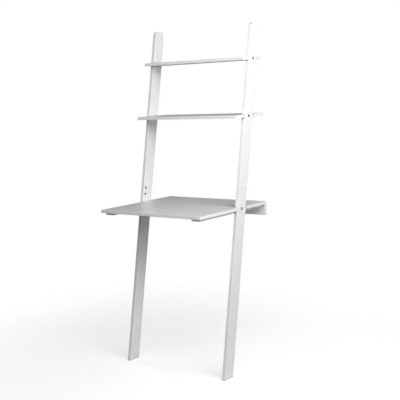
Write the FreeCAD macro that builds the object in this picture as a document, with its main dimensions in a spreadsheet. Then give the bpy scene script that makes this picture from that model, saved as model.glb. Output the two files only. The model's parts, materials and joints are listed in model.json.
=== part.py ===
import FreeCAD, Part
import Sketcher
import os

# Leaning ladder desk: two flat rails lean back to a wall and carry a deep desk top and two shelves.
# Millimetres, +Z up, origin on the floor under the middle of the desk. The wall is at +Y, the sitter at -Y.

DIMENSIONS = {
    # the whole desk
    "overall_width": 640,
    "overall_depth": 550,
    "overall_height": 1720,
    # rails
    "rail_thickness": 18,
    "rail_width": 68,
    "rail_lean": 11.5,
    "foot_setback": 350,
    "rail_wall_gap": 12,
    "rail_top_radius": 20,
    "lap_start": 857,
    "lap_length": 68,
    # boards
    "board_thickness": 15,
    "desk_height": 825,
    "desk_depth": 550,
    "mid_shelf_height": 1275,
    "mid_shelf_depth": 235,
    "top_shelf_height": 1555,
    "top_shelf_depth": 155,
    "notch_front_gap": 0.5,
    "notch_rear_gap": 5.5,
    # stiffening under the desk top
    "batten_width": 50,
    "batten_thickness": 12,
    "batten_setback": 20,
    "panel_height": 55,
    "panel_thickness": 15,
    "wall_hole_spacing": 400,
    "wall_hole_radius": 2.5,
    "wall_sink_radius": 5,
    # bolts with flat heads, sunk flush, one through a rail into each end of each board
    "bolt_radius": 3,
    "bolt_hole_radius": 3.25,
    "head_radius": 6.5,
    "head_height": 2.7,
    "head_easing": 0.8,
    "sink_radius": 7,
    "sink_depth": 3,
    "socket_radius": 2.3,
    "socket_depth": 1.9,
    "board_bolt_length": 48,
    "point_easing": 1,
    "hole_beyond_point": 2,
    "barrel_radius": 5,
    "barrel_length": 12,
    "barrel_easing": 0.5,
    "barrel_setback": 25,
    "barrel_slot_width": 1.2,
    "barrel_slot_depth": 1,
    # bolts that close the half-lap of each rail
    "joint_bolt_length": 13,
    "joint_bolt_spacing": 34,
    "joint_bolt_inset": 16,
    "insert_radius": 4.5,
    "insert_length": 8,
    # screws that hold the battens
    "screw_radius": 2,
    "screw_head_radius": 4,
    "screw_length": 18,
    "screw_point": 3,
    "screw_end_distance": 60,
    "cross_length": 4,
    "cross_width": 0.8,
    "cross_depth": 1.2,
    # dowels and cam fittings that hold the rear panel
    "dowel_radius": 4,
    "dowel_length": 30,
    "dowel_in_top": 10,
    "dowel_spacing": 120,
    "cam_bolt_radius": 3,
    "cam_neck_radius": 2,
    "cam_neck_length": 6,
    "cam_bolt_head_length": 2,
    "cam_bolt_in_top": 10,
    "cam_distance": 24,
    "cam_radius": 7.5,
    "cam_depth": 12.5,
    "cam_mouth_radius": 3.2,
    "cam_mouth_beyond_rim": 1,
    "cam_slot_width": 2,
    "cam_slot_depth": 2,
    "cam_spacing": 520,
}

BOARDS = {"desk": "desk_top", "mid_shelf": "mid_shelf", "top_shelf": "top_shelf"}
SIDES = {"left": -1, "right": 1}

doc = FreeCAD.newDocument("ladder_desk")
sheet = doc.addObject("Spreadsheet::Sheet", "dims")
for row, (alias, value) in enumerate(DIMENSIONS.items(), start=1):
    sheet.set(f"A{row}", alias)
    sheet.set(f"B{row}", str(value))
    sheet.setAlias(f"B{row}", alias)
doc.recompute()

nodes = []

# ---------------------------------------------------------------- expressions over the spreadsheet

LEAN = "dims.rail_lean"
WALL = "dims.overall_depth / 2"
HALF_WIDTH = "dims.overall_width / 2"
INNER_FACE = "(dims.overall_width / 2 - dims.rail_thickness)"
RAIL_WIDTH = "dims.rail_width"
LAP_END = "(dims.lap_start + dims.lap_length)"
BATTEN_MIDDLE = f"({INNER_FACE} - dims.batten_width / 2)"
BATTEN_LENGTH = "(dims.desk_depth - dims.batten_setback - dims.panel_thickness)"
DESK_UNDERSIDE = "(dims.desk_height - dims.board_thickness)"
PANEL_MIDDLE_Y = f"({WALL} - dims.panel_thickness / 2)"
LAP_BOLT_BACK = "(dims.rail_width - dims.joint_bolt_inset)"
HEAD_FACE = "(dims.sink_depth - dims.head_height)"


def signed(side, expression):
    """The expression, mirrored for the left side."""
    return expression if side > 0 else f"-({expression})"


def board_middle(board):
    """Height of the middle of a board's thickness."""
    return f"(dims.{board}_height - dims.board_thickness / 2)"


def bolt_wall_distance(board):
    """Distance from the wall to a board's bolts, which lie on the middle line of the rails."""
    height = board_middle(board)
    return f"(dims.foot_setback - {height} * tan({LEAN}) + {RAIL_WIDTH} / 2 / cos({LEAN}))"


def bolt_along_rail(board):
    """Distance from the rear corner of the foot, along the rail, to a board's bolt."""
    return f"(({board_middle(board)} - {RAIL_WIDTH} / 2 * sin({LEAN})) / cos({LEAN}))"


# ---------------------------------------------------------------- drawing and solid helpers


def new_body(label):
    body = doc.addObject("PartDesign::Body", label)
    body.Label = label
    return body


def origin_plane(body, role):
    return next(f for f in body.Origin.OriginFeatures if f.Role == role)


def new_sketch(body, name, role, offset="0"):
    """A sketch on one of the body's origin planes, moved along the plane's normal by the offset."""
    sketch = body.newObject("Sketcher::SketchObject", name)
    sketch.AttachmentSupport = (origin_plane(body, role), [""])
    sketch.MapMode = "FlatFace"
    sketch.setExpression("AttachmentOffset.Base.z", offset)
    return sketch


def bind(sketch, constraint, expression):
    index = sketch.addConstraint(constraint)
    sketch.setExpression(f"Constraints[{index}]", expression)


def draw_outline(sketch, corners):
    """A closed outline of straight lines, with both coordinates of every corner bound to the sheet."""
    count = len(corners)
    start = [FreeCAD.Vector(100, 0, 0)]
    turn = FreeCAD.Rotation(FreeCAD.Vector(0, 0, 1), 360 / count)
    for _ in range(count - 1):
        start.append(turn.multVec(start[-1]))
    for index in range(count):
        sketch.addGeometry(Part.LineSegment(start[index], start[(index + 1) % count]), False)
    for index in range(count):
        sketch.addConstraint(Sketcher.Constraint("Coincident", index, 2, (index + 1) % count, 1))
    for index, (across, up) in enumerate(corners):
        bind(sketch, Sketcher.Constraint("DistanceX", -1, 1, index, 1, start[index].x), across)
        bind(sketch, Sketcher.Constraint("DistanceY", -1, 1, index, 1, start[index].y), up)


def pad(body, name, sketch, length, backwards=False):
    feature = body.newObject("PartDesign::Pad", name)
    feature.Profile = sketch
    feature.setExpression("Length", length)
    feature.Reversed = backwards
    return feature


def turn_profile(body, name, corners):
    """A solid of revolution about the body's Z axis, from (radius, height) corners."""
    sketch = new_sketch(body, f"{name}_profile", "XZ_Plane")
    draw_outline(sketch, corners)
    doc.recompute()
    feature = body.newObject("PartDesign::Revolution", name)
    feature.Profile = sketch
    feature.ReferenceAxis = (sketch, ["V_Axis"])
    feature.Angle = 360
    return feature


def cut_away(body, kind, name, sizes, role, position):
    """A subtractive primitive on an origin plane, moved by the position in that plane's axes."""
    doc.recompute()
    before = body.Shape.Volume
    feature = body.newObject(f"PartDesign::Subtractive{kind}", name)
    for size, expression in sizes.items():
        feature.setExpression(size, expression)
    feature.AttachmentSupport = (origin_plane(body, role), [""])
    feature.MapMode = "FlatFace"
    for axis, expression in zip("xyz", position):
        feature.setExpression(f"AttachmentOffset.Base.{axis}", expression)
    doc.recompute()
    if not body.Shape.Volume < before - 0.1:
        raise RuntimeError(f"{body.Label}: {name} removed nothing")
    return feature


def drill(body, name, radius, depth, role, position):
    """A straight hole. It runs the way the plane faces: XY_Plane to +Z, YZ_Plane to +X, XZ_Plane to -Y."""
    return cut_away(body, "Cylinder", name, {"Radius": radius, "Height": depth}, role, position)


def sink(body, name, top_radius, radius, role, position):
    """A 90 degree countersink, widest at its base plane."""
    sizes = {"Radius1": top_radius, "Radius2": radius, "Height": f"{top_radius} - {radius}"}
    return cut_away(body, "Cone", name, sizes, role, position)


def place(thing, x="0", y="0", z="0", axis=(0, 0, 1), angle="0"):
    """Binds the placement: a turn about the axis, in degrees, then a move."""
    turn = FreeCAD.Rotation(FreeCAD.Vector(*axis), 1)
    thing.Placement = FreeCAD.Placement(FreeCAD.Vector(), turn)
    thing.setExpression("Placement.Rotation.Angle", angle)
    for name, expression in zip("xyz", (x, y, z)):
        thing.setExpression(f"Placement.Base.{name}", expression)


def as_node(thing):
    nodes.append(thing)
    return thing


def group_node(label, things):
    """Identical fasteners that share one node, each a solid of its own."""
    group = doc.addObject("Part::Compound", label)
    group.Label = label
    group.Links = things
    return as_node(group)


# ---------------------------------------------------------------- rails
# A rail is drawn along its own length: local Z runs up the rail, local Y = 0 is its rear edge, and local
# X = 0 is its inner face. Its placement tips it back to the wall.


def place_rail(rail, side):
    place(
        rail,
        x=signed(side, INNER_FACE),
        y=f"{WALL} - dims.foot_setback",
        axis=(-1, 0, 0),
        angle=LEAN,
    )


def drill_across(rail, name, side, reach, radius, centre):
    """A hole across the rail. Reach is where it starts, outwards from the inner face, and how deep it goes.
    Centre is how far in front of the rear edge and how far up the rail it is."""
    start, depth = reach
    forward, along = centre
    base = start if side > 0 else f"-({start} + {depth})"
    drill(rail, name, radius, depth, "YZ_Plane", (f"-({forward})", along, base))


def lap_bolt_positions():
    """Along the rail, the middles of the two bolts of its half-lap."""
    middle = "(dims.lap_start + dims.lap_length / 2)"
    return {
        "lower": f"({middle} - dims.joint_bolt_spacing / 2)",
        "upper": f"({middle} + dims.joint_bolt_spacing / 2)",
    }


def drill_board_bolt(rail, side, board):
    """The hole for a board's bolt, with a flat recess for its head in the rail's outer face."""
    centre = (f"{RAIL_WIDTH} / 2", bolt_along_rail(board))
    through = ("0", "dims.rail_thickness")
    recess = ("(dims.rail_thickness - dims.sink_depth)", "dims.sink_depth")
    drill_across(rail, f"{board}_bolt_hole", side, through, "dims.bolt_hole_radius", centre)
    drill_across(rail, f"{board}_bolt_sink", side, recess, "dims.sink_radius", centre)


def lap_outline():
    return [
        ("0", "dims.lap_start"),
        ("0", LAP_END),
        (f"-{RAIL_WIDTH}", LAP_END),
        (f"-{RAIL_WIDTH}", "dims.lap_start"),
    ]


def make_lower_rail(side_name, side):
    """Level foot, full thickness up to the lap, then an outer tongue of half the thickness."""
    rail = new_body(f"lower_rail_{side_name}")
    plank = new_sketch(rail, "plank", "YZ_Plane")
    draw_outline(
        plank,
        [
            ("0", "0"),
            ("0", "dims.lap_start"),
            (f"-{RAIL_WIDTH}", "dims.lap_start"),
            (f"-{RAIL_WIDTH}", f"-{RAIL_WIDTH} * tan({LEAN})"),
        ],
    )
    pad(rail, "plank_pad", plank, "dims.rail_thickness", side < 0)
    tongue = new_sketch(rail, "tongue", "YZ_Plane", signed(side, "dims.rail_thickness / 2"))
    draw_outline(tongue, lap_outline())
    pad(rail, "tongue_pad", tongue, "dims.rail_thickness / 2", side < 0)
    reach = ("(dims.rail_thickness / 2)", "dims.insert_length")
    for name, along in lap_bolt_positions().items():
        centre = (LAP_BOLT_BACK, along)
        drill_across(rail, f"{name}_insert_hole", side, reach, "dims.insert_radius", centre)
    drill_board_bolt(rail, side, "desk")
    place_rail(rail, side)
    return as_node(rail)


def make_upper_rail(side_name, side):
    """Inner tongue of half the thickness, full thickness above the lap, plumb rear cut, level rounded top."""
    rail = new_body(f"upper_rail_{side_name}")
    plumb_start = f"((dims.foot_setback - dims.rail_wall_gap) / sin({LEAN}))"
    plumb_height = f"(dims.overall_height - {plumb_start} * cos({LEAN}))"
    front_top = f"((dims.overall_height - {RAIL_WIDTH} * sin({LEAN})) / cos({LEAN}))"
    plank = new_sketch(rail, "plank", "YZ_Plane")
    draw_outline(
        plank,
        [
            (f"-{RAIL_WIDTH}", LAP_END),
            ("0", LAP_END),
            ("0", plumb_start),
            (f"-{plumb_height} * sin({LEAN})", f"{plumb_start} + {plumb_height} * cos({LEAN})"),
            (f"-{RAIL_WIDTH}", front_top),
        ],
    )
    pad(rail, "plank_pad", plank, "dims.rail_thickness", side < 0)
    tongue = new_sketch(rail, "tongue", "YZ_Plane")
    draw_outline(tongue, lap_outline())
    pad(rail, "tongue_pad", tongue, "dims.rail_thickness / 2", side < 0)
    doc.recompute()
    round_front_corner(rail)
    through = ("0", "(dims.rail_thickness / 2)")
    recess = ("0", "dims.sink_depth")
    for name, along in lap_bolt_positions().items():
        centre = (LAP_BOLT_BACK, along)
        drill_across(rail, f"{name}_joint_bolt_hole", side, through, "dims.bolt_hole_radius", centre)
        drill_across(rail, f"{name}_joint_bolt_sink", side, recess, "dims.sink_radius", centre)
    for board in ("mid_shelf", "top_shelf"):
        drill_board_bolt(rail, side, board)
    place_rail(rail, side)
    return as_node(rail)


def round_front_corner(rail):
    """Rounds the edge across the thickness at the front of the rail's top."""
    base = rail.Tip
    solid = base.Shape
    front = solid.BoundBox.YMin
    across = [e for e in solid.Edges if e.BoundBox.YMax - front < 0.01 and e.BoundBox.ZLength < 0.01]
    highest = max(across, key=lambda e: e.BoundBox.ZMin)
    index = next(i for i, e in enumerate(solid.Edges, start=1) if e.isSame(highest))
    fillet = rail.newObject("PartDesign::Fillet", "top_corner")
    fillet.Base = (base, [f"Edge{index}"])
    fillet.setExpression("Radius", "dims.rail_top_radius")
    doc.recompute()


# ---------------------------------------------------------------- boards
# A board's local origin is the middle of its rear edge, on its underside.


def make_board(board):
    """A board notched round both rails, with bolt holes in the notches and nut holes underneath."""
    body = new_body(BOARDS[board])
    rear = f"(dims.foot_setback - dims.{board}_height * tan({LEAN}) - dims.notch_rear_gap)"
    underside = f"(dims.{board}_height - dims.board_thickness)"
    front = (
        f"(dims.foot_setback - {underside} * tan({LEAN})"
        f" + {RAIL_WIDTH} / cos({LEAN}) + dims.notch_front_gap)"
    )
    right_end = [
        (HALF_WIDTH, "0"),
        (HALF_WIDTH, f"-{rear}"),
        (INNER_FACE, f"-{rear}"),
        (INNER_FACE, f"-{front}"),
        (HALF_WIDTH, f"-{front}"),
        (HALF_WIDTH, f"-dims.{board}_depth"),
    ]
    left_end = [(f"-{across}", back) for across, back in reversed(right_end)]
    sketch = new_sketch(body, "outline", "XY_Plane")
    draw_outline(sketch, right_end + left_end)
    pad(body, "board", sketch, "dims.board_thickness")
    back = f"-{bolt_wall_distance(board)}"
    hole_depth = (
        "(dims.board_bolt_length - dims.rail_thickness + dims.sink_depth + dims.hole_beyond_point)"
    )
    nut_middle = f"({INNER_FACE} - dims.barrel_setback)"
    for side_name, side in SIDES.items():
        base = f"({INNER_FACE} - {hole_depth})" if side > 0 else f"-{INNER_FACE}"
        drill(
            body,
            f"bolt_hole_{side_name}",
            "dims.bolt_hole_radius",
            hole_depth,
            "YZ_Plane",
            (back, "dims.board_thickness / 2", base),
        )
        drill(
            body,
            f"barrel_hole_{side_name}",
            "dims.barrel_radius",
            "(dims.board_thickness + dims.barrel_length) / 2",
            "XY_Plane",
            (signed(side, nut_middle), back, "0"),
        )
    place(body, y=WALL, z=underside)
    return body


def batten_screw_distances():
    """From the wall to each of a batten's three screws."""
    ends = "(dims.panel_thickness + dims.screw_end_distance)"
    span = f"({BATTEN_LENGTH} - 2 * dims.screw_end_distance)"
    return [f"({ends} + {span} * {share})" for share in ("0", "0.5", "1")]


def make_desk_top():
    """The deep board, which also takes the batten screws, the panel's dowels and its cam bolts."""
    body = make_board("desk")
    depth = "(dims.screw_length - dims.batten_thickness)"
    for side_name, side in SIDES.items():
        for number, distance in enumerate(batten_screw_distances(), start=1):
            name = f"screw_hole_{side_name}_{number}"
            position = (signed(side, BATTEN_MIDDLE), f"-{distance}", "0")
            drill(body, name, "dims.screw_radius", depth, "XY_Plane", position)
        for spacing, name, radius, length in (
            ("dims.dowel_spacing", "dowel", "dims.dowel_radius", "dims.dowel_in_top"),
            ("dims.cam_spacing", "cam_bolt", "dims.cam_bolt_radius", "dims.cam_bolt_in_top"),
        ):
            position = (signed(side, f"{spacing} / 2"), "-dims.panel_thickness / 2", "0")
            drill(body, f"{name}_hole_{side_name}", radius, length, "XY_Plane", position)
    return as_node(body)


def make_batten(side_name, side):
    """A flat strip under the desk top, against the inner face of the rail."""
    body = new_body(f"desk_batten_{side_name}")
    sketch = new_sketch(body, "outline", "XY_Plane")
    half = "dims.batten_width / 2"
    draw_outline(
        sketch,
        [(half, "0"), (half, f"-{BATTEN_LENGTH}"), (f"-{half}", f"-{BATTEN_LENGTH}"), (f"-{half}", "0")],
    )
    pad(body, "strip", sketch, "dims.batten_thickness")
    for number, distance in enumerate(batten_screw_distances(), start=1):
        position = ("0", f"dims.panel_thickness - {distance}", "0")
        radius = "dims.screw_radius"
        drill(body, f"screw_hole_{number}", radius, "dims.batten_thickness", "XY_Plane", position)
        sink(body, f"screw_sink_{number}", "dims.screw_head_radius", radius, "XY_Plane", position)
    place(
        body,
        x=signed(side, BATTEN_MIDDLE),
        y=f"{WALL} - dims.panel_thickness",
        z=f"{DESK_UNDERSIDE} - dims.batten_thickness",
    )
    return as_node(body)


def make_rear_panel():
    """The upright panel under the desk top's rear, with holes for its fittings and for the wall."""
    body = new_body("rear_panel")
    sketch = new_sketch(body, "outline", "XZ_Plane")
    draw_outline(
        sketch,
        [
            (HALF_WIDTH, "0"),
            (HALF_WIDTH, "-dims.panel_height"),
            (f"-{HALF_WIDTH}", "-dims.panel_height"),
            (f"-{HALF_WIDTH}", "0"),
        ],
    )
    pad(body, "panel", sketch, "dims.panel_thickness")
    depth_in_panel = "(dims.dowel_length - dims.dowel_in_top)"
    middle = "-dims.panel_thickness / 2"
    for side_name, side in SIDES.items():
        dowel_x = signed(side, "dims.dowel_spacing / 2")
        cam_x = signed(side, "dims.cam_spacing / 2")
        wall_x = signed(side, "dims.wall_hole_spacing / 2")
        half_height = "-dims.panel_height / 2"
        drill(
            body,
            f"dowel_hole_{side_name}",
            "dims.dowel_radius",
            depth_in_panel,
            "XY_Plane",
            (dowel_x, middle, f"-{depth_in_panel}"),
        )
        drill(
            body,
            f"cam_bolt_hole_{side_name}",
            "dims.cam_bolt_radius",
            "dims.cam_distance",
            "XY_Plane",
            (cam_x, middle, "-dims.cam_distance"),
        )
        drill(
            body,
            f"cam_hole_{side_name}",
            "dims.cam_radius",
            "dims.cam_depth",
            "XZ_Plane",
            (cam_x, "-dims.cam_distance", "0"),
        )
        drill(
            body,
            f"wall_hole_{side_name}",
            "dims.wall_hole_radius",
            "dims.panel_thickness",
            "XZ_Plane",
            (wall_x, half_height, "0"),
        )
        sink_wall_hole(body, side_name, wall_x, half_height)
    place(body, y=WALL, z=DESK_UNDERSIDE)
    return as_node(body)


def sink_wall_hole(body, side_name, across, up):
    """A countersink on the panel's front face, which narrows towards the wall."""
    depth = "(dims.wall_sink_radius - dims.wall_hole_radius)"
    cut_away(
        body,
        "Cone",
        f"wall_sink_{side_name}",
        {"Radius1": "dims.wall_hole_radius", "Radius2": "dims.wall_sink_radius", "Height": depth},
        "XZ_Plane",
        (across, up, f"dims.panel_thickness - {depth}"),
    )


# ---------------------------------------------------------------- fasteners
# A fastener is turned about its own Z axis. A bolt has its head's outer face at Z = 0 and its point at -Z.
# A batten screw has its head's face at Z = 0 and its point at +Z, the way it is driven.


def make_bolt(label, length):
    """A bolt with a flat eased head and a hexagon socket."""
    body = new_body(label)
    turn_profile(
        body,
        "bolt",
        [
            ("0", "0"),
            ("dims.head_radius - dims.head_easing", "0"),
            ("dims.head_radius", "-dims.head_easing"),
            ("dims.head_radius", "-dims.head_height"),
            ("dims.bolt_radius", "-dims.head_height"),
            ("dims.bolt_radius", f"-{length} + dims.point_easing"),
            ("dims.bolt_radius - dims.point_easing", f"-{length}"),
            ("0", f"-{length}"),
        ],
    )
    cut_away(
        body,
        "Prism",
        "socket",
        {"Circumradius": "dims.socket_radius", "Height": "dims.socket_depth"},
        "XY_Plane",
        ("0", "0", "-dims.socket_depth"),
    )
    return body


def make_board_bolt(board, side_name, side):
    """The bolt from a rail's outer face into a board's end, with its head flush in the rail."""
    bolt = make_bolt(f"{board}_bolt_{side_name}", "dims.board_bolt_length")
    place(
        bolt,
        x=signed(side, f"{HALF_WIDTH} - {HEAD_FACE}"),
        y=f"{WALL} - {bolt_wall_distance(board)}",
        z=board_middle(board),
        axis=(0, side, 0),
        angle="90",
    )
    return as_node(bolt)


def make_barrel_nut(board, side_name, side):
    """A cross dowel nut, upright in the board, with a hole for the bolt and a slot below."""
    body = new_body(f"{board}_barrel_nut_{side_name}")
    half = "dims.barrel_length / 2"
    turn_profile(
        body,
        "barrel",
        [
            ("0", half),
            ("dims.barrel_radius - dims.barrel_easing", half),
            ("dims.barrel_radius", f"{half} - dims.barrel_easing"),
            ("dims.barrel_radius", f"-{half}"),
            ("0", f"-{half}"),
        ],
    )
    drill(
        body,
        "cross_hole",
        "dims.bolt_radius",
        "2 * dims.barrel_radius",
        "YZ_Plane",
        ("0", "0", "-dims.barrel_radius"),
    )
    slot = {
        "Length": "2 * dims.barrel_radius",
        "Width": "dims.barrel_slot_width",
        "Height": "dims.barrel_slot_depth",
    }
    corner = ("-dims.barrel_radius", "-dims.barrel_slot_width / 2", f"-{half}")
    cut_away(body, "Box", "slot", slot, "XY_Plane", corner)
    place(
        body,
        x=signed(side, f"({INNER_FACE} - dims.barrel_setback)"),
        y=f"{WALL} - {bolt_wall_distance(board)}",
        z=board_middle(board),
    )
    return as_node(body)


def lap_bolt_place(side, along, out_from_inner):
    """World position of a point on the axis of a lap bolt, out_from_inner measured from the inner face."""
    return {
        "x": signed(side, f"{INNER_FACE} + {out_from_inner}"),
        "y": f"{WALL} - dims.foot_setback - {LAP_BOLT_BACK} * cos({LEAN}) + {along} * sin({LEAN})",
        "z": f"{LAP_BOLT_BACK} * sin({LEAN}) + {along} * cos({LEAN})",
    }


def make_joint_bolts(side_name, side):
    """The two bolts that close a rail's half-lap from the inside."""
    bolts = []
    for name, along in lap_bolt_positions().items():
        bolt = make_bolt(f"joint_bolt_{name}_{side_name}", "dims.joint_bolt_length")
        place(bolt, **lap_bolt_place(side, along, HEAD_FACE), axis=(0, -side, 0), angle="90")
        bolts.append(bolt)
    return group_node(f"rail_joint_bolts_{side_name}", bolts)


def make_joint_inserts(side_name, side):
    """The two threaded sleeves in the lower rail's tongue."""
    inserts = []
    for name, along in lap_bolt_positions().items():
        body = new_body(f"joint_insert_{name}_{side_name}")
        turn_profile(
            body,
            "sleeve",
            [
                ("dims.bolt_radius", "0"),
                ("dims.insert_radius", "0"),
                ("dims.insert_radius", "-dims.insert_length"),
                ("dims.bolt_radius", "-dims.insert_length"),
            ],
        )
        place(
            body,
            **lap_bolt_place(side, along, "dims.rail_thickness / 2"),
            axis=(0, -side, 0),
            angle="90",
        )
        inserts.append(body)
    return group_node(f"rail_joint_inserts_{side_name}", inserts)


def make_batten_screws(side_name, side):
    """Three countersunk wood screws, driven up through a batten into the desk top."""
    screws = []
    for number, distance in enumerate(batten_screw_distances(), start=1):
        body = new_body(f"batten_screw_{side_name}_{number}")
        turn_profile(
            body,
            "screw",
            [
                ("0", "0"),
                ("dims.screw_head_radius", "0"),
                ("dims.screw_radius", "dims.screw_head_radius - dims.screw_radius"),
                ("dims.screw_radius", "dims.screw_length - dims.screw_point"),
                ("0", "dims.screw_length"),
            ],
        )
        for name, across, deep in (
            ("cross_a", "dims.cross_length", "dims.cross_width"),
            ("cross_b", "dims.cross_width", "dims.cross_length"),
        ):
            bar = {"Length": across, "Width": deep, "Height": "dims.cross_depth"}
            cut_away(body, "Box", name, bar, "XY_Plane", (f"-{across} / 2", f"-{deep} / 2", "0"))
        place(
            body,
            x=signed(side, BATTEN_MIDDLE),
            y=f"{WALL} - {distance}",
            z=f"{DESK_UNDERSIDE} - dims.batten_thickness",
        )
        screws.append(body)
    return group_node(f"batten_screws_{side_name}", screws)


def make_panel_dowels():
    """Two wooden dowels between the desk top and the rear panel."""
    dowels = []
    top = "dims.dowel_in_top"
    low = "-(dims.dowel_length - dims.dowel_in_top)"
    for side_name, side in SIDES.items():
        body = new_body(f"panel_dowel_{side_name}")
        turn_profile(
            body,
            "dowel",
            [
                ("0", top),
                ("dims.dowel_radius - dims.point_easing", top),
                ("dims.dowel_radius", f"{top} - dims.point_easing"),
                ("dims.dowel_radius", f"{low} + dims.point_easing"),
                ("dims.dowel_radius - dims.point_easing", low),
                ("0", low),
            ],
        )
        place(body, x=signed(side, "dims.dowel_spacing / 2"), y=PANEL_MIDDLE_Y, z=DESK_UNDERSIDE)
        dowels.append(body)
    return group_node("panel_dowels", dowels)


def make_cam_bolts():
    """Two cam bolts, screwed up into the desk top, each with a neck and a small head inside its cam."""
    bolts = []
    head_low = "-dims.cam_distance"
    neck_low = f"{head_low} + dims.cam_bolt_head_length"
    neck_high = f"{neck_low} + dims.cam_neck_length"
    for side_name, side in SIDES.items():
        body = new_body(f"cam_bolt_{side_name}")
        turn_profile(
            body,
            "stud",
            [
                ("0", "dims.cam_bolt_in_top"),
                ("dims.cam_bolt_radius - dims.point_easing", "dims.cam_bolt_in_top"),
                ("dims.cam_bolt_radius", "dims.cam_bolt_in_top - dims.point_easing"),
                ("dims.cam_bolt_radius", neck_high),
                ("dims.cam_neck_radius", neck_high),
                ("dims.cam_neck_radius", neck_low),
                ("dims.cam_bolt_radius", neck_low),
                ("dims.cam_bolt_radius", head_low),
                ("0", head_low),
            ],
        )
        place(body, x=signed(side, "dims.cam_spacing / 2"), y=PANEL_MIDDLE_Y, z=DESK_UNDERSIDE)
        bolts.append(body)
    return group_node("panel_cam_bolts", bolts)


def make_cams():
    """Two cam nuts in the wall side of the panel, each with a mouth for its bolt and a driver slot."""
    cams = []
    for side_name, side in SIDES.items():
        body = new_body(f"cam_{side_name}")
        turn_profile(
            body,
            "drum",
            [
                ("0", "0"),
                ("dims.cam_radius", "0"),
                ("dims.cam_radius", "-dims.cam_depth"),
                ("0", "-dims.cam_depth"),
            ],
        )
        drill(
            body,
            "mouth",
            "dims.cam_mouth_radius",
            "dims.cam_radius + dims.cam_mouth_beyond_rim",
            "XZ_Plane",
            ("0", "-dims.panel_thickness / 2", "-dims.cam_mouth_beyond_rim"),
        )
        cut_away(
            body,
            "Box",
            "slot",
            {"Length": "dims.cam_radius", "Width": "dims.cam_slot_width", "Height": "dims.cam_slot_depth"},
            "XY_Plane",
            ("-dims.cam_radius / 2", "-dims.cam_slot_width / 2", "-dims.cam_slot_depth"),
        )
        place(
            body,
            x=signed(side, "dims.cam_spacing / 2"),
            y=WALL,
            z=f"{DESK_UNDERSIDE} - dims.cam_distance",
            axis=(-1, 0, 0),
            angle="90",
        )
        cams.append(body)
    return group_node("panel_cams", cams)


# ---------------------------------------------------------------- the desk

for side_name, side in SIDES.items():
    make_lower_rail(side_name, side)
    make_upper_rail(side_name, side)
    make_batten(side_name, side)
    make_joint_bolts(side_name, side)
    make_joint_inserts(side_name, side)
    make_batten_screws(side_name, side)
    for board in BOARDS:
        make_board_bolt(board, side_name, side)
        make_barrel_nut(board, side_name, side)
make_desk_top()
as_node(make_board("mid_shelf"))
as_node(make_board("top_shelf"))
make_rear_panel()
make_panel_dowels()
make_cam_bolts()
make_cams()
doc.recompute()

faulty = [o.Label for o in doc.Objects if {"Invalid", "Error"} & set(o.State)]
if faulty:
    raise RuntimeError(f"features that failed: {faulty}")
for node in nodes:
    if node.Shape.isNull() or not node.Shape.isValid():
        raise RuntimeError(f"{node.Label} has no valid shape")

os.makedirs("parts", exist_ok=True)
for node in nodes:
    node.Shape.exportStep(f"parts/{node.Label}.step")
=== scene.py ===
import json
import math

import bpy
from mathutils import Matrix, Vector


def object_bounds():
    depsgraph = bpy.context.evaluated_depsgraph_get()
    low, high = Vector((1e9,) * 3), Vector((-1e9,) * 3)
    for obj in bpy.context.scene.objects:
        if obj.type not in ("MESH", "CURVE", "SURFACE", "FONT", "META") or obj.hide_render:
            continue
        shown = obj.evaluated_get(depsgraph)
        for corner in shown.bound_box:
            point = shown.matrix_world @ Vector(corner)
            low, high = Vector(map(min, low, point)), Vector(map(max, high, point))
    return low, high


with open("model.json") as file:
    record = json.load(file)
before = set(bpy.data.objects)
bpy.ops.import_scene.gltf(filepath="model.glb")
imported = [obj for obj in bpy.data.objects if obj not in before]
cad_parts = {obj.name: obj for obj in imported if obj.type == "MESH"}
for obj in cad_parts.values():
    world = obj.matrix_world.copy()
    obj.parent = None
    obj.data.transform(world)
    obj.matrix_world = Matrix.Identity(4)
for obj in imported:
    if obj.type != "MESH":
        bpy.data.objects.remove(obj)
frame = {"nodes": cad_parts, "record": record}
cad_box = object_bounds()

# Leaning ladder desk in satin white paint. Metres, +Z up, wall at +Y, sitter at -Y.

RAIL_LEAN = math.radians(11.5)

# where the camera stands and how it is turned
CAMERA_AT = Vector((2.7848, -3.3740, 1.4279))
CAMERA_AZIMUTH = math.radians(38.446)
CAMERA_DROP = math.radians(7.53)
CAMERA_ROLL = math.radians(-2.746)
CAMERA_LENS = 78.157
CAMERA_SENSOR = 36.0

# how far each painted arris is rounded over, and each fitting's, and in how many steps
ARRIS_RADIUS = 0.0012
ARRIS_STEPS = 3
FITTING_ARRIS_RADIUS = 0.00015
FITTING_ARRIS_STEPS = 2

# corners closer than this are one corner, and faces that turn by less than the angle are one flat
WELD_DISTANCE = 0.00002
FLAT_ANGLE = math.radians(0.5)

# an edge is an arris if it turns by more than this and is longer than a step of a hole's rim
SHARP_ANGLE = math.radians(28)
SHORTEST_ARRIS = 0.002

# edges that turn by more than this stay sharp: the steps of a rounded arris turn by less
HARD_ANGLE = math.radians(40)

# the plumb cut breaks from the rail's back by the rail's lean, and that line stays crisp. The rounded top
# corner's steps turn by less, and a rounded arris leaves its flats by more. A few steps about half a
# millimetre long, where arrises meet at a corner, fall in the range too
CRISP_FROM = RAIL_LEAN - math.radians(2.5)
CRISP_TO = RAIL_LEAN + math.radians(1)
BIG_FLAT = 0.00015

# how far apart two surfaces may be and still get painted shade between them
CREVICE_SHADE_REACH = 0.010

PAINTED = "white_paint"

# how much lighter the floor looks than its lighting alone would make it
FLOOR_LIFT = 0.5

# the floor is a disc this far below the feet, so that the two don't touch
FLOOR_RADIUS = 4.0
FLOOR_SIDES = 96
FLOOR_GAP = 0.0005

# the floor fades into the background between these distances from its middle
FADE_FROM = 0.4
FADE_TO = 2.0

# the background's brightness as seen, and as it lights the desk
BACKDROP = 1.0
FILL = 0.02

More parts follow.
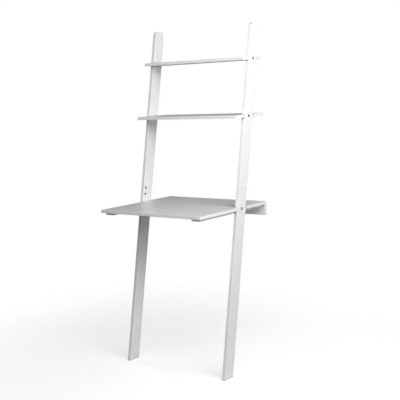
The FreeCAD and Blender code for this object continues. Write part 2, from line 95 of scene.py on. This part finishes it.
# what the lights are aimed at
MIDDLE = (0.1, 0.0, 1.3)
UPPER = (0.25, 0.0, 1.5)
LOW = (0.0, 0.0, 0.9)


# ---------------------------------------------------------------- shader helpers


def new_material(name):
    """A material with only a Principled shader and its output. Gives the material, its tree and the shader."""
    material = bpy.data.materials.new(name)
    material.use_nodes = True
    tree = material.node_tree
    tree.nodes.clear()
    output = tree.nodes.new("ShaderNodeOutputMaterial")
    shader = tree.nodes.new("ShaderNodeBsdfPrincipled")
    tree.links.new(shader.outputs["BSDF"], output.inputs["Surface"])
    return material, tree, shader


def node(tree, kind, inputs=None, **settings):
    """Adds a node. An input is a plain value, or an output socket of another node to link from."""
    made = tree.nodes.new(kind)
    for name, value in settings.items():
        setattr(made, name, value)
    for name, value in (inputs or {}).items():
        if isinstance(value, bpy.types.NodeSocket):
            tree.links.new(value, made.inputs[name])
        else:
            made.inputs[name].default_value = value
    return made


def place_coordinates(tree, turn, stretch):
    """The row frame's coordinates, turned so that X runs along the board, then stretched."""
    source = node(tree, "ShaderNodeTexCoord").outputs["Object"]
    turned = node(tree, "ShaderNodeMapping", {"Vector": source, "Rotation": turn}, vector_type="POINT")
    inputs = {"Vector": turned.outputs["Vector"], "Scale": stretch}
    return node(tree, "ShaderNodeMapping", inputs).outputs["Vector"]


def noise(tree, where, scale, detail, roughness=0.5):
    """Smooth noise whose features are about one part in scale of a metre across."""
    inputs = {"Vector": where, "Scale": scale, "Detail": detail, "Roughness": roughness}
    return node(tree, "ShaderNodeTexNoise", inputs).outputs["Fac"]


def spread(tree, value, low, high, to_low, to_high):
    """Maps low..high onto to_low..to_high, held at the ends."""
    inputs = {"Value": value, "From Min": low, "From Max": high, "To Min": to_low, "To Max": to_high}
    return node(tree, "ShaderNodeMapRange", inputs).outputs["Result"]


def mix_colour(tree, share, first, second):
    """The first colour where the share is 0, and the second where it is 1."""
    mixer = node(tree, "ShaderNodeMix", data_type="RGBA")
    for name, value in (("Factor", share), ("A", first), ("B", second)):
        socket = next(s for s in mixer.inputs if s.name == name and s.enabled)
        if isinstance(value, bpy.types.NodeSocket):
            tree.links.new(value, socket)
        else:
            socket.default_value = value
    return next(s for s in mixer.outputs if s.enabled)


def raise_surface(tree, height, distance, below=None):
    """A bump of that height field, on top of an earlier one."""
    inputs = {"Height": height, "Distance": distance, "Strength": 1.0}
    if below is not None:
        inputs["Normal"] = below
    return node(tree, "ShaderNodeBump", inputs).outputs["Normal"]


def arris_share(tree, radius):
    """From 0 on a flat face to 1 on an outer edge, found by rounding the normal near edges."""
    rounded = node(tree, "ShaderNodeBevel", {"Radius": radius}, samples=6).outputs["Normal"]
    flat = node(tree, "ShaderNodeNewGeometry").outputs["Normal"]
    match = node(tree, "ShaderNodeVectorMath", {0: rounded, 1: flat}, operation="DOT_PRODUCT")
    on_the_flat, on_the_edge = 1.0, 0.86
    return spread(tree, match.outputs["Value"], on_the_flat, on_the_edge, 0.0, 1.0)


def crevice_shade_share(tree):
    """From 0 in the open to 1 deep in a seam, a notch or a bolt recess, found by ambient occlusion: where
    painted shade goes.
    """
    inputs = {"Distance": CREVICE_SHADE_REACH}
    openness = node(tree, "ShaderNodeAmbientOcclusion", inputs, samples=8).outputs["AO"]
    deep, open_air = 0.25, 0.88
    return spread(tree, openness, deep, open_air, 1.0, 0.0)


# ---------------------------------------------------------------- materials


def white_paint(name, turn):
    """Satin white lacquer over board: roller stipple, faint grain below it, thin paint on the arrises, painted
    shade in its creases.
    """
    material, tree, shader = new_material(name)
    plain = place_coordinates(tree, turn, (1.0, 1.0, 1.0))
    along = place_coordinates(tree, turn, (1.0, 14.0, 14.0))

    # noise sizes run from 200 mm across, for the tone, down to under 2 mm, for the roller's stipple
    tone = noise(tree, plain, 5.0, 2.0)
    grain = noise(tree, along, 26.0, 5.0, 0.62)
    pores = noise(tree, along, 90.0, 2.0, 0.7)
    stipple = noise(tree, plain, 620.0, 2.0, 0.45)
    smudge = noise(tree, plain, 17.0, 4.0, 0.55)
    arris = arris_share(tree, 0.0016)
    crevice_shade = crevice_shade_share(tree)

    cool = (0.845, 0.85, 0.85, 1.0)
    warm = (0.865, 0.862, 0.85, 1.0)
    grain_tint = (0.80, 0.797, 0.785, 1.0)
    thin_paint = (0.78, 0.765, 0.735, 1.0)
    # near-black grey for the painted shade in seams, notches, bolt recesses and where parts meet
    crevice_shade_colour = (0.20, 0.195, 0.185, 1.0)
    colour = mix_colour(tree, spread(tree, tone, 0.35, 0.65, 0.0, 1.0), cool, warm)
    colour = mix_colour(tree, spread(tree, grain, 0.56, 0.74, 0.0, 0.35), colour, grain_tint)
    worn = spread(tree, smudge, 0.42, 0.66, 0.12, 0.75)
    worn_arris = node(tree, "ShaderNodeMath", {0: arris, 1: worn}, operation="MULTIPLY").outputs[0]
    colour = mix_colour(tree, worn_arris, colour, thin_paint)
    # painted shade: the paint is darkened towards that grey wherever ambient occlusion finds a nearby surface
    colour = mix_colour(tree, crevice_shade, colour, crevice_shade_colour)
    tree.links.new(colour, shader.inputs["Base Color"])

    rough = spread(tree, smudge, 0.3, 0.7, 0.38, 0.50)
    tree.links.new(rough, shader.inputs["Roughness"])
    shader.inputs["IOR"].default_value = 1.48
    shader.inputs["Coat Weight"].default_value = 0.12
    shader.inputs["Coat Roughness"].default_value = 0.28

    grain_depth = 0.00012
    pore_depth = 0.00005
    stipple_depth = 0.00006
    normal = raise_surface(tree, grain, grain_depth)
    normal = raise_surface(tree, spread(tree, pores, 0.62, 0.78, 0.0, -1.0), pore_depth, normal)
    normal = raise_surface(tree, stipple, stipple_depth, normal)
    tree.links.new(normal, shader.inputs["Normal"])
    return material


def plated_steel(name, colour, roughness):
    """Zinc-plated steel: fine scratches, cloudy plating darker and lighter by patches, worn bright on the
    edges.
    """
    material, tree, shader = new_material(name)
    plain = place_coordinates(tree, (0.0, 0.0, 0.0), (1.0, 1.0, 1.0))
    cloud = noise(tree, plain, 260.0, 4.0, 0.6)
    scratch = noise(tree, place_coordinates(tree, (0.4, 0.2, 0.7), (1.0, 22.0, 1.0)), 420.0, 3.0, 0.6)
    arris = arris_share(tree, 0.0005)
    dulled, brightened = 0.72, 1.12
    dark = tuple(c * dulled for c in colour) + (1.0,)
    light = tuple(min(1.0, c * brightened) for c in colour) + (1.0,)
    tone = mix_colour(tree, spread(tree, cloud, 0.35, 0.68, 0.0, 1.0), dark, light)
    tone = mix_colour(tree, spread(tree, arris, 0.0, 1.0, 0.0, 0.6), tone, light)
    tree.links.new(tone, shader.inputs["Base Color"])
    shader.inputs["Metallic"].default_value = 1.0
    rough = spread(tree, cloud, 0.3, 0.7, roughness - 0.07, roughness + 0.1)
    tree.links.new(rough, shader.inputs["Roughness"])
    scratch_depth = 0.00001
    cloud_depth = 0.00002
    normal = raise_surface(tree, scratch, scratch_depth)
    normal = raise_surface(tree, cloud, cloud_depth, normal)
    tree.links.new(normal, shader.inputs["Normal"])
    return material


def bare_beech(name):
    """Unfinished beech with fine flecks along the dowel."""
    material, tree, shader = new_material(name)
    upright = place_coordinates(tree, (0.0, 0.0, 0.0), (9.0, 9.0, 1.0))
    grain = noise(tree, upright, 60.0, 5.0, 0.6)
    fleck = noise(tree, upright, 240.0, 2.0, 0.5)
    late_wood = (0.68, 0.50, 0.31, 1.0)
    early_wood = (0.80, 0.65, 0.45, 1.0)
    fleck_tint = (0.48, 0.32, 0.18, 1.0)
    colour = mix_colour(tree, spread(tree, grain, 0.35, 0.7, 0.0, 1.0), late_wood, early_wood)
    colour = mix_colour(tree, spread(tree, fleck, 0.6, 0.72, 0.0, 0.6), colour, fleck_tint)
    tree.links.new(colour, shader.inputs["Base Color"])
    shader.inputs["Roughness"].default_value = 0.72
    grain_depth = 0.00008
    tree.links.new(raise_surface(tree, grain, grain_depth), shader.inputs["Normal"])
    return material


# ---------------------------------------------------------------- the CAD nodes

# the turn that lays a piece's length along X: rails lean back, battens run front to back
ALONG_X = (0.0, 0.0, 0.0)
ALONG_Y = (0.0, 0.0, math.radians(90))
ALONG_RAIL = (RAIL_LEAN, math.radians(90), 0.0)


def run_of(name):
    """Which way a painted piece's boards run, as a rail, as a batten, or across the desk."""
    if "rail" in name:
        return "rail"
    if "batten" in name:
        return "batten"
    return "across"


def geometry_group(name):
    """A geometry node group with a mesh in and a mesh out. The caller joins the two."""
    group = bpy.data.node_groups.new(name, "GeometryNodeTree")
    group.interface.new_socket("Geometry", in_out="INPUT", socket_type="NodeSocketGeometry")
    group.interface.new_socket("Geometry", in_out="OUTPUT", socket_type="NodeSocketGeometry")
    return group, node(group, "NodeGroupInput").outputs["Geometry"]


def compare(group, value, operation, limit):
    """1 where the value is above or below the limit, else 0."""
    return node(group, "ShaderNodeMath", {0: value, 1: limit}, operation=operation).outputs[0]


def both(group, first, second):
    """1 where both values are 1, else 0."""
    return node(group, "ShaderNodeMath", {0: first, 1: second}, operation="MULTIPLY").outputs[0]


def edge_turn(group):
    """How far an edge's two faces turn from one to the other."""
    return node(group, "GeometryNodeInputMeshEdgeAngle").outputs["Unsigned Angle"]


def store_on_edges(group, mesh, name, value, kind):
    """The mesh with the value kept on its edges under that name."""
    stored = node(group, "GeometryNodeStoreNamedAttribute", {"Geometry": mesh, "Name": name}, data_type=kind)
    stored.domain = "EDGE"
    socket = next(s for s in stored.inputs if s.name == "Value" and s.enabled)
    group.links.new(value, socket)
    return stored.outputs["Geometry"]


def arris_marker():
    """Gives bevel weight to the long sharp edges, and none to the rims of holes."""
    group, mesh = geometry_group("mark_arrises")
    ends = node(group, "GeometryNodeInputMeshEdgeVertices").outputs
    apart = {0: ends["Position 1"], 1: ends["Position 2"]}
    length = node(group, "ShaderNodeVectorMath", apart, operation="DISTANCE").outputs["Value"]
    long_enough = compare(group, length, "GREATER_THAN", SHORTEST_ARRIS)
    weight = both(group, long_enough, compare(group, edge_turn(group), "GREATER_THAN", SHARP_ANGLE))
    mesh = store_on_edges(group, mesh, "bevel_weight_edge", weight, "FLOAT")
    node(group, "NodeGroupOutput", {"Geometry": mesh})
    return group


def edge_smoother():
    """Shades everything smooth but for the rims of holes and the break at the plumb cut."""
    group, mesh = geometry_group("smooth_by_angle")
    smooth = node(group, "GeometryNodeSetShadeSmooth", {"Geometry": mesh, "Shade Smooth": True})
    turn = edge_turn(group)
    area = node(group, "GeometryNodeInputMeshFaceArea").outputs["Area"]
    near_lean = both(
        group, compare(group, turn, "GREATER_THAN", CRISP_FROM), compare(group, turn, "LESS_THAN", CRISP_TO)
    )
    crisp = both(group, near_lean, compare(group, area, "GREATER_THAN", BIG_FLAT))
    hard = compare(group, turn, "GREATER_THAN", HARD_ANGLE)
    either = node(group, "ShaderNodeMath", {0: hard, 1: crisp}, operation="MAXIMUM").outputs[0]
    mesh = store_on_edges(group, smooth.outputs["Geometry"], "sharp_edge", either, "BOOLEAN")
    node(group, "NodeGroupOutput", {"Geometry": mesh})
    return group


def ease_edges(thing, radius, segments, smoother, marker=None):
    """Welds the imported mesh's split corners, merges its flat triangles, then rounds its arrises.

    With a marker, only the marked edges are rounded, at their full radius."""
    weld = thing.modifiers.new("weld", "WELD")
    weld.merge_threshold = WELD_DISTANCE
    flatten = thing.modifiers.new("flatten", "DECIMATE")
    flatten.decimate_type = "DISSOLVE"
    flatten.angle_limit = FLAT_ANGLE
    if marker:
        thing.modifiers.new("mark", "NODES").node_group = marker
    ease = thing.modifiers.new("ease", "BEVEL")
    ease.width = radius
    ease.segments = segments
    ease.limit_method = "WEIGHT" if marker else "ANGLE"
    ease.angle_limit = SHARP_ANGLE
    ease.use_clamp_overlap = not marker
    ease.loop_slide = False
    ease.miter_outer = "MITER_ARC"
    thing.modifiers.new("smooth", "NODES").node_group = smoother
    weighted = thing.modifiers.new("keep_flats_flat", "WEIGHTED_NORMAL")
    weighted.mode = "FACE_AREA"
    weighted.keep_sharp = True


def paint(thing, material):
    """Gives the whole piece one material."""
    thing.data.materials.clear()
    thing.data.materials.append(material)


paints = {
    "rail": white_paint("paint_rail", ALONG_RAIL),
    "batten": white_paint("paint_batten", ALONG_Y),
    "across": white_paint("paint_across", ALONG_X),
}
fittings = {
    "bolt_steel": plated_steel("bolt_steel", (0.42, 0.42, 0.41), 0.34),
    "fitting_zinc": plated_steel("fitting_zinc", (0.55, 0.55, 0.53), 0.40),
    "bare_wood": bare_beech("bare_beech"),
}

marker = arris_marker()
smoother = edge_smoother()
slots = {entry["node"]: entry["material_slot"] for entry in frame["record"]["subparts"]}
for name, thing in frame["nodes"].items():
    painted = slots[name] == PAINTED
    if painted:
        ease_edges(thing, ARRIS_RADIUS, ARRIS_STEPS, smoother, marker)
        paint(thing, paints[run_of(name)])
    else:
        ease_edges(thing, FITTING_ARRIS_RADIUS, FITTING_ARRIS_STEPS, smoother)
        paint(thing, fittings[slots[name]])


# ---------------------------------------------------------------- stage, light and camera


def make_floor():
    """A pale floor that fades out into the background."""
    mesh = bpy.data.meshes.new("floor")
    turns = [2 * math.pi * side / FLOOR_SIDES for side in range(FLOOR_SIDES)]
    ring = [(FLOOR_RADIUS * math.cos(turn), FLOOR_RADIUS * math.sin(turn), 0.0) for turn in turns]
    mesh.from_pydata(ring, [], [tuple(range(FLOOR_SIDES))])
    floor = bpy.data.objects.new("floor", mesh)
    floor.location = (0.0, 0.0, cad_box[0].z - FLOOR_GAP)
    bpy.context.scene.collection.objects.link(floor)
    material, tree, shader = new_material("floor")
    where = node(tree, "ShaderNodeTexCoord").outputs["Object"]
    mottle = noise(tree, where, 60.0, 4.0, 0.6)
    darker = (0.60, 0.60, 0.60, 1.0)
    lighter = (0.63, 0.63, 0.62, 1.0)
    tone = mix_colour(tree, spread(tree, mottle, 0.35, 0.65, 0.0, 1.0), darker, lighter)
    tree.links.new(tone, shader.inputs["Base Color"])
    shader.inputs["Roughness"].default_value = 0.85
    shader.inputs["Specular IOR Level"].default_value = 0.2
    seen = node(tree, "ShaderNodeLightPath").outputs["Is Camera Ray"]
    shader.inputs["Emission Color"].default_value = (1.0, 1.0, 1.0, 1.0)
    tree.links.new(spread(tree, seen, 0.0, 1.0, 0.0, FLOOR_LIFT), shader.inputs["Emission Strength"])
    far = node(tree, "ShaderNodeVectorMath", {0: where}, operation="LENGTH").outputs["Value"]
    share = spread(tree, far, FADE_FROM, FADE_TO, 0.0, 1.0)
    clear = node(tree, "ShaderNodeBsdfTransparent")
    mixer = node(tree, "ShaderNodeMixShader", {0: share})
    tree.links.new(shader.outputs["BSDF"], mixer.inputs[1])
    tree.links.new(clear.outputs["BSDF"], mixer.inputs[2])
    output = next(n for n in tree.nodes if n.type == "OUTPUT_MATERIAL")
    tree.links.new(mixer.outputs[0], output.inputs["Surface"])
    mesh.materials.append(material)


def make_world(backdrop, fill):
    """A white backdrop to the camera, which lights the desk less than it shows."""
    world = bpy.data.worlds.new("studio")
    world.use_nodes = True
    tree = world.node_tree
    tree.nodes.clear()
    seen = node(tree, "ShaderNodeBackground", {"Color": (1.0, 1.0, 1.0, 1.0), "Strength": backdrop})
    cast = node(tree, "ShaderNodeBackground", {"Color": (1.0, 1.0, 1.0, 1.0), "Strength": fill})
    path = node(tree, "ShaderNodeLightPath")
    mixer = node(tree, "ShaderNodeMixShader", {0: path.outputs["Is Camera Ray"]})
    tree.links.new(cast.outputs[0], mixer.inputs[1])
    tree.links.new(seen.outputs[0], mixer.inputs[2])
    output = node(tree, "ShaderNodeOutputWorld")
    tree.links.new(mixer.outputs[0], output.inputs["Surface"])
    bpy.context.scene.world = world


def soft_light(name, azimuth, height, distance, target, size, power):
    """A square softbox aimed at the target. Azimuth 0 is in front of the desk and 90 to its right."""
    lamp = bpy.data.lights.new(name, "AREA")
    lamp.shape = "SQUARE"
    lamp.size = size
    lamp.energy = power
    thing = bpy.data.objects.new(name, lamp)
    around, up = math.radians(azimuth), math.radians(height)
    away = Vector((math.sin(around) * math.cos(up), -math.cos(around) * math.cos(up), math.sin(up)))
    thing.location = Vector(target) + away * distance
    thing.rotation_euler = (-away).to_track_quat("-Z", "Y").to_euler()
    thing.visible_camera = False
    bpy.context.scene.collection.objects.link(thing)


def make_camera():
    """The camera, turned by its azimuth, its drop below the horizontal and its roll."""
    data = bpy.data.cameras.new("camera")
    data.sensor_width = CAMERA_SENSOR
    data.lens = CAMERA_LENS
    data.clip_end = 50.0
    thing = bpy.data.objects.new("camera", data)
    forward = Vector(
        (
            -math.sin(CAMERA_AZIMUTH) * math.cos(CAMERA_DROP),
            math.cos(CAMERA_AZIMUTH) * math.cos(CAMERA_DROP),
            -math.sin(CAMERA_DROP),
        )
    )
    across = Vector((math.cos(CAMERA_AZIMUTH), math.sin(CAMERA_AZIMUTH), 0.0))
    up = across.cross(forward)
    right = across * math.cos(CAMERA_ROLL) + up * math.sin(CAMERA_ROLL)
    top = up * math.cos(CAMERA_ROLL) - across * math.sin(CAMERA_ROLL)
    turned = Matrix((right, top, -forward)).transposed().to_4x4()
    thing.matrix_world = Matrix.Translation(CAMERA_AT) @ turned
    bpy.context.scene.collection.objects.link(thing)
    bpy.context.scene.camera = thing


make_floor()
make_world(BACKDROP, FILL)
soft_light("key", azimuth=80, height=15, distance=2.3, target=MIDDLE, size=1.6, power=42.0)
soft_light("upper", azimuth=45, height=25, distance=1.6, target=UPPER, size=1.0, power=18.6)
soft_light("front", azimuth=0, height=15, distance=2.3, target=MIDDLE, size=1.6, power=15.9)
soft_light("cross", azimuth=60, height=15, distance=2.3, target=MIDDLE, size=1.6, power=9.0)
soft_light("back", azimuth=188, height=-5, distance=3.0, target=LOW, size=1.0, power=40.0)
soft_light("left", azimuth=262, height=-5, distance=3.0, target=LOW, size=1.0, power=26.0)
bpy.context.scene.view_settings.view_transform = "Standard"
make_camera()

bpy.context.view_layer.update()
